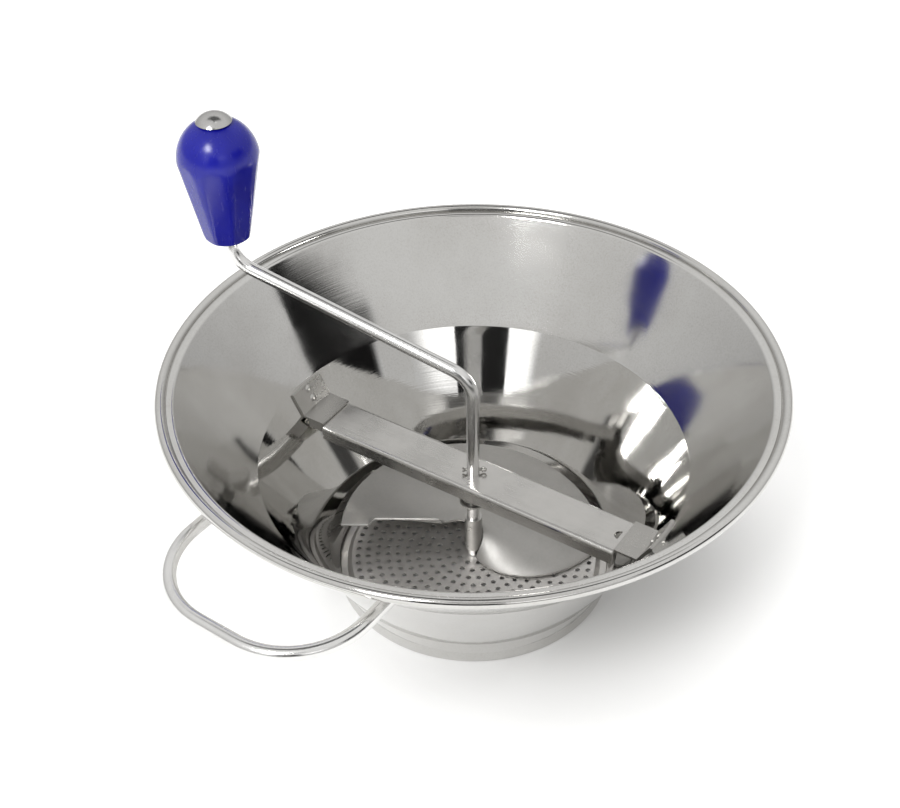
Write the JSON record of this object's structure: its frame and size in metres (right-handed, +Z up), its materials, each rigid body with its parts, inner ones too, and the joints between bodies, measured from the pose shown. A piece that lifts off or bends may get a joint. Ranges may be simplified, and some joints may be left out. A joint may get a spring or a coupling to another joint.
{
  "type": "rotary food mill",
  "caption": "Hand-cranked food mill and ricer: steel hopper with sieve, sprung crossbar, helical blade, bent crank with free-turning knob, wire loop handle.",
  "frame": {"origin": "centre of the base collar, on the plane the mill stands on", "axes": "+Z up along the crank shaft, crossbar along X, loop handle towards -Y"},
  "size_m": [0.37, 0.4243, 0.2925],
  "materials": {
    "hopper_steel": "semi-mirror polish with spin lines",
    "wire_steel": "polished wire and rod",
    "satin_steel": "satin sheet",
    "blade_steel": "satin sheet, worn along the wiping edge",
    "sieve_steel": "satin sheet with punched holes",
    "spring_steel": "drawn spring wire",
    "cap_steel": "bright domed cap",
    "blue_plastic": "glossy moulded plastic, ultramarine"
  },
  "bodies": {
    "hopper_set": {"hopper": "hopper_steel", "loop_handle": "wire_steel", "rest_hook_left": "wire_steel", "rest_hook_right": "wire_steel", "lug_left": "satin_steel", "lug_right": "satin_steel", "lug_rivets": "satin_steel", "sieve": "sieve_steel"},
    "press_washer": {"bar_washer": "satin_steel", "spring": "spring_steel"},
    "bar": {"crossbar": "satin_steel"},
    "crank": {"crank_rod": "wire_steel", "spring_washer": "satin_steel", "thrust_pin": "satin_steel", "split_pin": "spring_steel", "blade_hub": "satin_steel", "blade": "blade_steel", "knob_washer": "satin_steel", "knob_cap": "cap_steel"},
    "knob_body": {"knob": "blue_plastic"}
  },
  "joints": [
    {"name": "crank_spin", "type": "hinge", "parent": "hopper_set", "child": "crank", "pos_m": [0, 0, 0], "axis": [0, 0, 1], "continuous": true},
    {"name": "knob_spin", "type": "hinge", "parent": "crank", "child": "knob_body", "pos_m": [-0.15458, -0.02726, 0.2], "axis": [0, 0, 1], "continuous": true},
    {"name": "bar_press", "type": "slide", "parent": "hopper_set", "child": "press_washer", "axis": [0, 0, 1], "range_m": [-0.005, 0], "stiffness_N_per_m": 2500, "springref_m": 0.008, "deforming": ["spring"]},
    {"name": "bar_turn", "type": "hinge", "parent": "press_washer", "child": "bar", "pos_m": [0, 0, 0.075], "axis": [0, 0, 1], "range_deg": [-45, 0]}
  ]
}
